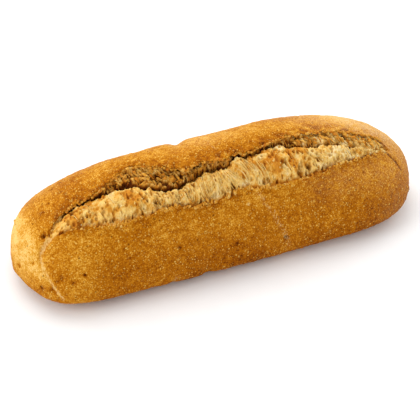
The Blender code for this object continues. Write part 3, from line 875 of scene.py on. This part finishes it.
def wallForm(x, y, whole, gap):      # the same of the torn wall
    crevice, rear = creviceY(x), rearLipY(x)
    far, tail = farBand(x), smoothStep(*wall["tail"], x)
    share = min(max((y - crevice) / (rear - crevice), 0.0), 1.0)
    across = x + strandBend(x, y) + wall["lean"] * (y - crevice)
    ridges = ridgesAt(across, y)
    level = (rear - y) / wall["shredSize"] + wall["shredWave"] * tornNoise("layer", x, y)
    step = level - math.floor(level)
    slit = 0.0
    for width, length, strength in wall["slits"]:
        thread = abs(planNoise(across, y, width, length, wall["slitSeed"]))
        slit = max(slit, strength * smoothStep(*wall["slitThread"], thread))
    slit *= smoothStep(*wall["slitEdge"], tornNoise("wallSlit", x, y))
    pit = smoothStep(*wall["pitEdge"], tornNoise("wallPit", x, y))
    pocket = pocketAt(x, y)
    relief = torn["cragRelief"] * (wall["crags"] - wall["cragsFarLoss"] * far) * cragsAt(whole)
    relief -= wall["scoopDepth"] * (1 - wall["scoopFarLoss"] * far) * (1 - tail)
    relief += wall["grains"] * grainsAt(x, y)
    relief += wall["shredRelief"] * (1 - wall["shredFarLoss"] * far) * (step - 0.5)
    relief += sum(ridge * fibre[3] for ridge, fibre in zip(ridges, torn["fibres"]))
    relief -= weighed(wall["depths"], {"slit": slit, "pit": pit, "pocket": pocket})
    layered = hump(slash["layered"], slash["layeredReach"], x)
    scoopEnd = wall["scoopEnd"] - wall["layeredLonger"] * layered
    out = relief * smoothStep(mix(*wall["layeredStart"], layered), scoopEnd, share)
    out += slash["earRise"] * smoothStep(wall["scoopEnd"], 1.0, share) * wall["rimShare"]
    out -= torn["creviceDepth"] * gap
    down = min(out, 0.0)
    faceX, faceZ = wall["faceSize"]
    coarse = raggedAt("face", x / faceX, down / faceZ, wall["faceSeed"])
    fine = noise.noise(Vector((x / wall["faceGrain"], down / wall["faceGrain"], wall["faceGrainSeed"])))
    onFace = smoothStep(0.0, wall["faceFrom"], share) * smoothStep(1.0, wall["faceTo"], share)
    forward = onFace * (wall["faceRelief"] * coarse + wall["faceGrainRelief"] * fine)
    toast = weighed(wall["toast"], {"all": 1, "broad": tornNoise("wallBroad", x, y), "fine": fine,
                                    "ridge": max(ridges[1], 0), "far": far})
    hollow = weighed(wall["hollow"], {
        "undercut": smoothStep(*wall["undercut"], 1 - step), "between": betweenFibres(ridges), "pit": pit,
        "rough": smoothStep(*wall["rough"], coarse), "slit": slit})
    hollow = min(hollow, 1.0) * (1 - wall["hollowFarLoss"] * far)
    hollow += wall["gapDark"] * gap + wall["pocketDark"] * pocket
    # painted shade: the wall darkens where it sinks deep into the crevice
    hollow += cutAt(x) * smoothStep(wall["darkFrom"], wall["darkWhole"], out + wall["darkVaries"] * coarse)
    return out, forward, toast, hollow * (1 - tail)


# the last of these is the painted shade: how dark the hollows here are painted
def tornSurface(x, y):       # point of the torn inside, its normal, its toast and its hollows
    plan = planTaper(x)
    angle = angleOfY(y, x, plan)
    whole = loafPoint(x, angle, plan)
    normal = outward(x, angle, plan)
    form = crumbForm if y <= creviceY(x) else wallForm
    out, forward, toast, hollow = form(x, y, whole, creviceGap(x, y))
    frontTuck = smoothStep(torn["tuckFront"], -torn["tuckFront"], y - frontLipY(x))
    rearTuck = smoothStep(torn["tuckRearFrom"], torn["tuckRear"], y - rearLipY(x))
    out = mix(out, -torn["tuckDepth"], max(frontTuck, rearTuck))
    out = mix(-torn["tuckDepth"], out, openedAt(x))
    point = whole + normal * out
    point.y -= torn["earFollow"] * earForward(x, y) + forward
    return point, normal, toast, min(max(hollow, 0.0), 1.0)


def tornRowY(across, x):     # rows run from under the front lip to the crevice and on under the rear lip
    row = (across + 1) / 2 * (torn["crumbRows"] + torn["wallRows"])
    crevice = creviceY(x)
    if row <= torn["crumbRows"]:
        return mix(frontLipY(x) - torn["tuckFront"], crevice, row / torn["crumbRows"])
    return mix(crevice, rearLipY(x) + torn["tuckRear"], (row - torn["crumbRows"]) / torn["wallRows"])


def buildTorn():
    mesh = gridCube(torn["stations"], torn["crumbRows"] + torn["wallRows"], 0, topOnly=True)
    toastLayer = mesh.verts.layers.float.new("toast")
    hollowLayer = mesh.verts.layers.float.new("hollow")
    for vertex in mesh.verts:
        side, across, up = vertex.co
        x = mix(slash["start"], slash["end"], (side + 1) / 2)
        point, normal, toast, hollow = tornSurface(x, tornRowY(across, x))
        if up < 0:
            point = point - normal * torn["thickness"]
        vertex.co = point
        vertex[toastLayer] = toast
        vertex[hollowLayer] = hollow
    return mesh


# slivers: strands pulled across the crumb, torn shreds of the wall and flakes along the edges

slivers = {
    "strand": {"count": 160, "ends": (0.012, 0.010), "width": (0.00011, 0.00025), "toast": (0.14, 0.36),
               "from": (0.0, 0.5), "length": (0.25, 0.75), "furthest": 0.96, "lift": (0.00012, 0.00060),
               "anywhere": 0.05,
               "crowded": ((-0.006, 0.012, 0.80), (-0.030, 0.012, 0.40), (0.050, 0.012, 0.12))},
    "shred": {"count": 380, "ends": (0.016, 0.008), "width": (0.00025, 0.00090), "toast": (0.34, 0.66),
              "thickness": 0.00012, "top": (0.35, 1.02), "length": (0.0012, 0.0045), "drift": (0.9, 1.4),
              "lift": (0.00014, 0.00070), "curl": 9, "foot": -0.0004},
    # the others stand up: how far they run along and across the loaf, and how far they rise
    "flake": {"count": 230, "ends": (0.010, 0.006), "width": (0.00025, 0.00075), "toast": (0.30, 0.60),
              "thickness": 0.00014, "run": ((-0.0016, 0.0016), (0.0004, 0.0014)),
              "rise": (0.0001, 0.0009), "foot": -0.0005, "lipShare": 0.7},
    "crumb": {"count": 420, "ends": (0.012, 0.012), "width": (0.00015, 0.00045), "toast": (0.12, 0.50),
              "thickness": 0.00016, "run": ((-0.0012, 0.0012), (-0.0008, 0.0010)),
              "rise": (0.0001, 0.0008), "foot": -0.0004, "spread": 0.9},
    "rag": {"count": 420, "ends": (0.012, 0.006), "width": (0.00030, 0.00100), "toast": (0.38, 0.70),
            "thickness": 0.00014, "run": ((-0.0015, 0.0015), (-0.0018, -0.0006)),
            "rise": (-0.0008, 0.0003), "foot": 0.0005},
    "steps": 7, "standingSteps": 3, "rooted": 0.00015, "endWidth": 0.15, "seed": 23,
}


def addSliver(mesh, path, width, thickness, toast, layers):
    before = len(mesh.verts)
    made = bmesh.ops.create_cube(mesh, size=2)["verts"]
    edges = []
    for edge in {edge for vertex in made for edge in vertex.link_edges}:
        if abs(edge.verts[0].co.x - edge.verts[1].co.x) > 1:
            edges.append(edge)
    last = len(path) - 1
    bmesh.ops.subdivide_edges(mesh, edges=edges, cuts=last - 1)
    mesh.verts.ensure_lookup_table()
    for vertex in mesh.verts[before:]:
        place = (vertex.co.x + 1) / 2 * last
        index = int(round(place))
        point, normal = path[index]
        run = (path[min(index + 1, last)][0] - path[max(index - 1, 0)][0]).normalized()
        sideways = run.cross(normal).normalized()
        upright = sideways.cross(run)
        narrowed = mix(1.0, slivers["endWidth"], abs(place / last * 2 - 1) ** 2)
        sideStep = sideways * vertex.co.y * width * narrowed
        vertex.co = point + sideStep + upright * vertex.co.z * thickness * narrowed
        vertex[layers[0]] = toast
        vertex[layers[1]] = 0.0


def smoothPath(path, lift):  # evens out a path over the rough surface, raised in its middle
    last = len(path) - 1
    smooth = []
    for index, (point, normal) in enumerate(path):
        before, after = path[max(index - 1, 0)][0], path[min(index + 1, last)][0]
        raised = lift * math.sin(math.pi * index / last)
        smooth.append(((before + point + after) / 3 + normal * raised, normal))
    return smooth


def beginOf(draw, kind):
    before, after = kind["ends"]
    return draw.uniform(slash["start"] + before, slash["end"] - after)


def tornPoint(x, y):
    return tornSurface(x, y)[:2]


def strandPath(draw, kind):
    begin = beginOf(draw, kind)
    nearEnd = draw.uniform(*kind["from"])
    farEnd = min(nearEnd + draw.uniform(*kind["length"]), kind["furthest"])
    path = []
    for step in range(slivers["steps"] + 1):
        fromCrevice = mix(nearEnd, farEnd, step / slivers["steps"])
        x = xOfStrand(begin, fromCrevice)
        y = mix(creviceY(x), frontLipY(x), fromCrevice)
        path.append(tornPoint(x + crumb["lean"] * (creviceY(x) - y), y))
    return smoothPath(path, draw.uniform(*kind["lift"])), begin


def shredPath(draw, kind):   # hangs down the wall and curls off it
    begin = beginOf(draw, kind)
    top = mix(creviceY(begin), rearLipY(begin), draw.uniform(*kind["top"]))
    length = draw.uniform(*kind["length"])
    path = []
    for step in range(slivers["steps"] + 1):
        down = length * step / slivers["steps"]
        x = begin + wall["lean"] * down * draw.uniform(*kind["drift"])
        path.append(tornPoint(x, max(top - down, creviceY(x) + kind["foot"])))
    lift = draw.uniform(*kind["lift"])
    smooth = enumerate(smoothPath(path, lift))
    return [(point + normal * lift * index / kind["curl"], normal) for index, (point, normal) in smooth]


def standingPath(x, y, draw, kind, place):     # a few points that rise off the surface; place gives a point
    runX, runY = (draw.uniform(*reach) for reach in kind["run"])
    rise = draw.uniform(*kind["rise"])
    path = []
    for step in range(slivers["standingSteps"] + 1):
        share = step / slivers["standingSteps"]
        point, normal = place(x + runX * share, y + runY * share)
        path.append((point + normal * (rise * share - slivers["rooted"]), normal))
    return path


def raisedPoint(x, y, rise):
    plan = planTaper(x)
    angle = angleOfY(y, x, plan)
    normal = outward(x, angle, plan)
    return loafPoint(x, angle, plan) + normal * rise, normal


def lipPoint(x, y):          # on the raised front lip
    return raisedPoint(x, y, crust["lipRise"] * slivers["flake"]["lipShare"] * openedAt(x))


def earPoint(x, y):          # on the rear crust's broken edge
    point, normal = raisedPoint(x, y, slash["earRise"] * earShare(x))
    point.y -= earForward(x, y)
    return point, normal


def flakePath(draw, kind):   # stands off the front lip and leans over the crumb
    x = beginOf(draw, kind)
    return standingPath(x, tornFrontY(x) + kind["foot"], draw, kind, lipPoint)


def crumbPath(draw, kind):   # crumbs and teeth near the crevice and all over the crumb
    x = beginOf(draw, kind)
    share = 1 - kind["spread"] * draw.random() ** 2
    return standingPath(x, mix(frontLipY(x), creviceY(x), share) + kind["foot"], draw, kind, tornPoint)


def ragPath(draw, kind):     # hangs off the rear crust's edge over the torn wall
    x = beginOf(draw, kind)
    return standingPath(x, tornRearY(x) + kind["foot"], draw, kind, earPoint)


def buildSlivers():
    draw = random.Random(slivers["seed"])
    mesh = bmesh.new()
    layers = mesh.verts.layers.float.new("toast"), mesh.verts.layers.float.new("hollow")
    kind = slivers["strand"]
    made = 0
    while made < kind["count"]:
        path, begin = strandPath(draw, kind)
        crowd = sum(amount * hump(place, reach, begin) for place, reach, amount in kind["crowded"])
        if draw.random() > crowd + kind["anywhere"]:
            continue
        width = draw.uniform(*kind["width"])
        addSliver(mesh, path, width, width, draw.uniform(*kind["toast"]), layers)
        made += 1
    for name, pathOf in (("shred", shredPath), ("flake", flakePath), ("crumb", crumbPath), ("rag", ragPath)):
        kind = slivers[name]
        for _ in range(kind["count"]):
            width = draw.uniform(*kind["width"])
            toast = draw.uniform(*kind["toast"])
            addSliver(mesh, pathOf(draw, kind), width, kind["thickness"], toast, layers)
    return mesh


# materials

def colourOf(red, green, blue):     # from the 0-255 numbers of a colour picker
    return tuple((part / 255) ** 2.2 for part in (red, green, blue)) + (1,)


class Nodes:                 # small helper that adds and joins shader nodes
    def __init__(self, name):
        self.material = bpy.data.materials.new(name)
        self.material.use_nodes = True
        self.tree = self.material.node_tree
        self.place = self.add("TexCoord")["Object"]

    def join(self, source, socket):
        if hasattr(source, "links"):
            self.tree.links.new(source, socket)
        else:
            socket.default_value = source

    def add(self, kind, inputs=None, **settings):      # a node's outputs, once its inputs are joined or set
        node = self.tree.nodes.new("ShaderNode" + kind)
        for name, value in settings.items():
            setattr(node, name, value)
        for name, value in (inputs or {}).items():
            self.join(value, node.inputs[name])
        return node.outputs

    def shade(self, inputs):     # joins or sets the shader's own inputs
        for name, value in inputs.items():
            self.join(value, self.tree.nodes["Principled BSDF"].inputs[name])

    def attribute(self, name):
        return self.add("Attribute", attribute_name=name)["Fac"]

    def warped(self, scale, reach):     # places pushed about a little, for uneven shapes
        push = self.add("TexNoise", {"Scale": scale, "Vector": self.place})["Color"]
        inputs = {0: push, 1: (reach, reach, reach), 2: self.place}
        return self.add("VectorMath", inputs, operation="MULTIPLY_ADD")["Vector"]

    def noise(self, scale, detail=3, roughness=0.55, vector=None):
        inputs = {"Scale": scale, "Detail": detail, "Roughness": roughness, "Vector": vector or self.place}
        return self.add("TexNoise", inputs)["Fac"]

    def streaks(self, scales, roughness, vector):
        return self.noise(1, 3, roughness, self.add("Mapping", {"Scale": scales, "Vector": vector})["Vector"])

    def cells(self, scale, vector):     # how far each place is from its cell's point, and the cell's chance
        cell = self.add("TexVoronoi", {"Scale": scale, "Vector": vector})
        return cell["Distance"], self.add("SeparateColor", {"Color": cell["Color"]})["Red"]

    def math(self, operation, first, second):
        return self.add("Math", {0: first, 1: second}, operation=operation)["Value"]

    def times(self, first, second):
        return self.math("MULTIPLY", first, second)

    def plus(self, first, second):
        return self.math("ADD", first, second)

    def varied(self, value, source, strength):     # moved up and down by a noise
        return self.plus(value, self.times(self.math("SUBTRACT", source, 0.5), strength))

    def weighed(self, *parts):
        total, *others = (self.times(value, weight) for value, weight in parts)
        for other in others:
            total = self.plus(total, other)
        return total

    def between(self, value, low, high):    # 0 below low, 1 above high
        inputs = {"Value": value, "From Min": low, "From Max": high}
        return self.add("MapRange", inputs, interpolation_type="SMOOTHSTEP")["Result"]

    def ramp(self, value, stops):
        node = self.tree.nodes.new("ShaderNodeValToRGB")
        elements = node.color_ramp.elements
        while len(elements) < len(stops):
            elements.new(0.5)
        for element, (place, colour) in zip(elements, stops):
            element.position = place
            element.color = colour
        self.join(value, node.inputs["Fac"])
        return node.outputs["Color"]

    def blend(self, share, first, second):
        return self.add("Mix", {6: first, 7: second, "Factor": share}, data_type="RGBA")[2]

    def bump(self, height, distance):
        return self.add("Bump", {"Strength": 1.0, "Distance": distance, "Height": height})["Normal"]


crustLook = {
    "stops": ((0.00, colourOf(234, 192, 114)), (0.25, colourOf(212, 150, 50)), (0.50, colourOf(176, 106, 14)),
              (0.75, colourOf(142, 76, 4)), (1.00, colourOf(80, 38, 4))),
    "fleck": colourOf(236, 194, 98), "burn": colourOf(84, 40, 8), "cream": colourOf(234, 198, 128),
    "dustAndSheen": colourOf(234, 197, 140), "roughness": (0.50, 0.70), "specular": 0.035, "warp": (900, 0.0009),
    # each noise: scale, detail, roughness, how strongly it varies the bake
    "noises": {"cloudy": (85, 3, 0.55, 0.30), "patchy": (230, 3, 0.6, 0.28),
               "mottled": (480, 4, 0.65, 0.66), "grain": (1500, 3, 0.6, 1.20)},
    # bran specks: scale, reach, rarity, strength
    "specks": ((1050, 0.32, 0.45, 0.58), (620, 0.27, 0.52, 0.74), (360, 0.18, 0.68, 0.86)),
    "speckEdge": 0.45, "speckSpread": 0.12,
    "ring": {"scale": 260, "inner": (0.10, 0.15), "outer": (0.24, 0.18), "chance": (0.86, 0.90),
             "share": 0.40},
    "burnt": {"scale": 420, "reach": (0.24, 0.08), "chance": (0.72, 0.86), "share": 0.70},
    "lines": ((1500, 600, 600), 0.6), "linesVary": 1.8, "linesEdge": (0.35, 0.85), "paleEdge": (0, 0.3),
    "paleShare": 0.60, "dustAndSheenMottled": (0.25, 0.70), "dustAndSheenGrain": (0.70, 0.40),
    "heights": {"mottled": 0.7, "specks": 0.35, "ring": 0.4, "burnt": -0.6, "grain": 0.7}, "bump": 0.00034,
}


def crustMaterial():
    nodes = Nodes("bakedCrust")
    wobble = nodes.warped(*crustLook["warp"])
    bakeAndPaintedLight, pale = nodes.attribute("bakeAndPaintedLight"), nodes.attribute("pale")
    relief = {}
    for name, (scale, detail, roughness, strength) in crustLook["noises"].items():
        relief[name] = nodes.noise(scale, detail, roughness)
        bakeAndPaintedLight = nodes.varied(bakeAndPaintedLight, relief[name], strength)
    colour = nodes.ramp(bakeAndPaintedLight, crustLook["stops"])
    specks = 0.0
    for scale, reach, rarity, strength in crustLook["specks"]:
        gap, chance = nodes.cells(scale, wobble)
        inside = nodes.between(gap, reach, reach * crustLook["speckEdge"])
        share = nodes.times(inside, nodes.between(chance, rarity, rarity + crustLook["speckSpread"]))
        specks = nodes.math("MAXIMUM", specks, nodes.times(share, strength))
    colour = nodes.blend(specks, colour, crustLook["fleck"])
    look = crustLook["ring"]
    gap, chance = nodes.cells(look["scale"], wobble)
    ring = nodes.times(nodes.between(gap, *look["inner"]), nodes.between(gap, *look["outer"]))
    ring = nodes.times(ring, nodes.between(chance, *look["chance"]))
    colour = nodes.blend(nodes.times(ring, look["share"]), colour, crustLook["fleck"])
    # small dents painted dark: painted shade in them
    look = crustLook["burnt"]
    gap, chance = nodes.cells(look["scale"], wobble)
    burnt = nodes.times(nodes.between(gap, *look["reach"]), nodes.between(chance, *look["chance"]))
    colour = nodes.blend(nodes.times(burnt, look["share"]), colour, crustLook["burn"])
    streaked = nodes.varied(pale, nodes.streaks(*crustLook["lines"], wobble), crustLook["linesVary"])
    inside = nodes.between(pale, *crustLook["paleEdge"])
    streaked = nodes.times(nodes.between(streaked, *crustLook["linesEdge"]), inside)
    colour = nodes.blend(nodes.times(streaked, crustLook["paleShare"]), colour, crustLook["cream"])
    mottled, grain = relief["mottled"], relief["grain"]
    # painted sheen mixed with a paler dusty crust, blended towards a pale cream
    dustyAndSheen = nodes.times(nodes.attribute("dustAndSheen"), nodes.between(mottled, *crustLook["dustAndSheenMottled"]))
    dustyAndSheen = nodes.times(dustyAndSheen, nodes.between(grain, *crustLook["dustAndSheenGrain"]))
    colour = nodes.blend(dustyAndSheen, colour, crustLook["dustAndSheen"])
    relief.update(specks=specks, ring=ring, burnt=burnt)
    height = nodes.weighed(*((relief[name], weight) for name, weight in crustLook["heights"].items()))
    smooth, rough = crustLook["roughness"]
    nodes.shade({"Base Color": colour, "Specular IOR Level": crustLook["specular"],
                 "Roughness": nodes.plus(nodes.times(mottled, rough - smooth), smooth),
                 "Normal": nodes.bump(height, crustLook["bump"])})
    return nodes.material


tornLook = {
    "stops": ((0.00, colourOf(240, 212, 152)), (0.20, colourOf(232, 190, 104)),
              (0.45, colourOf(213, 148, 50)), (0.72, colourOf(184, 103, 16)), (1.00, colourOf(120, 56, 6))),
    "shade": colourOf(64, 24, 2), "fleck": colourOf(248, 226, 178),
    "warp": (500, 0.0012), "streaks": ((1150, 520, 600), 0.65), "spots": (1000, 4, 0.65),
    "streaksVary": 0.22, "spotsVary": 0.50, "hollowToast": 0.36, "hollowShade": 0.80,
    "flecks": (2000, 2, 0.6), "fleckEdge": (0.54, 0.68), "fleckToast": (0.55, 0.25), "fleckShare": 0.32,
    "roughness": (0.72, 0.15), "heights": (0.4, 0.9), "bump": 0.00040,
    "shader": {"Specular IOR Level": 0.15, "Subsurface Weight": 0.10,
               "Subsurface Radius": (0.0020, 0.0012, 0.0006), "Subsurface Scale": 1.0},
}


def tornMaterial():
    nodes = Nodes("tornCrumb")
    wobble = nodes.warped(*tornLook["warp"])
    streaks = nodes.streaks(*tornLook["streaks"], wobble)
    spots = nodes.noise(*tornLook["spots"])
    hollow = nodes.attribute("hollow")
    toast = nodes.varied(nodes.attribute("toast"), streaks, tornLook["streaksVary"])
    toast = nodes.varied(toast, spots, tornLook["spotsVary"])
    # painted shade: the hollows are painted browner, and then mixed towards the shade colour
    toast = nodes.plus(toast, nodes.times(hollow, tornLook["hollowToast"]))
    colour = nodes.ramp(toast, tornLook["stops"])
    flecks = nodes.between(nodes.noise(*tornLook["flecks"], wobble), *tornLook["fleckEdge"])
    flecks = nodes.times(flecks, nodes.between(toast, *tornLook["fleckToast"]))
    colour = nodes.blend(nodes.times(flecks, tornLook["fleckShare"]), colour, tornLook["fleck"])
    colour = nodes.blend(nodes.times(hollow, tornLook["hollowShade"]), colour, tornLook["shade"])
    smooth, rougher = tornLook["roughness"]
    height = nodes.weighed(*zip((streaks, spots), tornLook["heights"]))
    nodes.shade({"Base Color": colour, "Roughness": nodes.plus(nodes.times(spots, rougher), smooth),
                 "Normal": nodes.bump(height, tornLook["bump"])})
    nodes.shade(tornLook["shader"])
    return nodes.material


def floorMaterial():
    nodes = Nodes("paleFloor")
    stops = [(place, (grey, grey, grey, 1)) for place, grey in enumerate(stage["floorGreys"])]
    speckle = nodes.noise(*stage["floorSpeckle"])
    nodes.shade({"Base Color": nodes.ramp(speckle, stops), "Roughness": stage["floorRoughness"]})
    return nodes.material


# stage, lights and camera

stage = {"floorSize": 4.0, "floorGreys": (0.88, 0.92), "floorSpeckle": (60, 2),
         "floorRoughness": 0.9, "background": 0.85}
lights = (
    {"name": "topSoft", "place": (-0.10, 0.75, 1.05), "size": 1.5, "power": 9.6},
    {"name": "leftSoft", "place": (-1.05, 0.05, 0.62), "size": 0.7, "power": 4.0},
    {"name": "rightSoft", "place": (0.95, 0.35, 0.70), "size": 0.7, "power": 2.6},
    {"name": "frontFill", "place": (0.20, -1.1, 0.9), "size": 0.9, "power": 1.5},
)
camera = {"azimuth": -22.8, "elevation": 38.0, "distance": 0.620, "target": Vector((0, 0, 0.028)),
          "shiftRight": -0.0038, "shiftUp": -0.0118, "focalPixels": 1240.0, "sensor": 36.0, "frame": 420}


def buildStage():
    mesh = bmesh.new()
    bmesh.ops.create_grid(mesh, x_segments=4, y_segments=4, size=stage["floorSize"] / 2)
    data = bpy.data.meshes.new("floor")
    mesh.to_mesh(data)
    mesh.free()
    data.materials.append(floorMaterial())
    floor = bpy.data.objects.new("floor", data)
    bpy.context.scene.collection.objects.link(floor)
    world = bpy.data.worlds.new("softRoom")
    world.use_nodes = True
    world.node_tree.nodes["Background"].inputs["Color"].default_value = (1, 1, 1, 1)
    world.node_tree.nodes["Background"].inputs["Strength"].default_value = stage["background"]
    bpy.context.scene.world = world


def buildLights():
    for light in lights:
        lamp = bpy.data.lights.new(light["name"], "AREA")
        lamp.shape = "DISK"
        lamp.size = light["size"]
        lamp.energy = light["power"]
        holder = bpy.data.objects.new(light["name"], lamp)
        holder.location = light["place"]
        holder.rotation_euler = (-Vector(light["place"])).to_track_quat("-Z", "Y").to_euler()
        bpy.context.scene.collection.objects.link(holder)


def buildCamera():
    turn, rise = math.radians(camera["azimuth"]), math.radians(camera["elevation"])
    back = Vector((math.sin(turn) * math.cos(rise), -math.cos(turn) * math.cos(rise), math.sin(rise)))
    right = Vector((math.cos(turn), math.sin(turn), 0))
    up = back.cross(right)
    lens = bpy.data.cameras.new("photoCamera")
    lens.sensor_width = camera["sensor"]
    lens.lens = camera["focalPixels"] / camera["frame"] * camera["sensor"]
    lens.clip_start = 0.01
    holder = bpy.data.objects.new("photoCamera", lens)
    holder.location = (camera["target"] + right * camera["shiftRight"] + up * camera["shiftUp"]
                       + back * camera["distance"])
    holder.rotation_euler = (-back).to_track_quat("-Z", "Y").to_euler()
    bpy.context.scene.collection.objects.link(holder)
    bpy.context.scene.camera = holder
    bpy.context.scene.view_settings.view_transform = "Standard"


def boxShift(mesh):          # what brings the crust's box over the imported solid's box
    low = Vector(min(vertex.co[axis] for vertex in mesh.verts) for axis in range(3))
    high = Vector(max(vertex.co[axis] for vertex in mesh.verts) for axis in range(3))
    shift = ((lowCorner + highCorner) - (low + high)) / 2
    shift.z = lowCorner.z - low.z
    return shift


buildCamera()
buildStage()
buildLights()
print("stage ready")

crustSkin = crustMaterial()
tornSkin = tornMaterial()
crustMesh = buildCrust()
tornMesh = buildTorn()
sliverMesh = buildSlivers()
shift = boxShift(crustMesh)
for mesh in (crustMesh, tornMesh, sliverMesh):
    bmesh.ops.translate(mesh, verts=mesh.verts, vec=shift)
finishPiece(crustMesh, "crustSkin", crustSkin)
finishPiece(tornMesh, "tornCrumb", tornSkin)
finishPiece(sliverMesh, "tornSlivers", tornSkin)
print("roll ready")
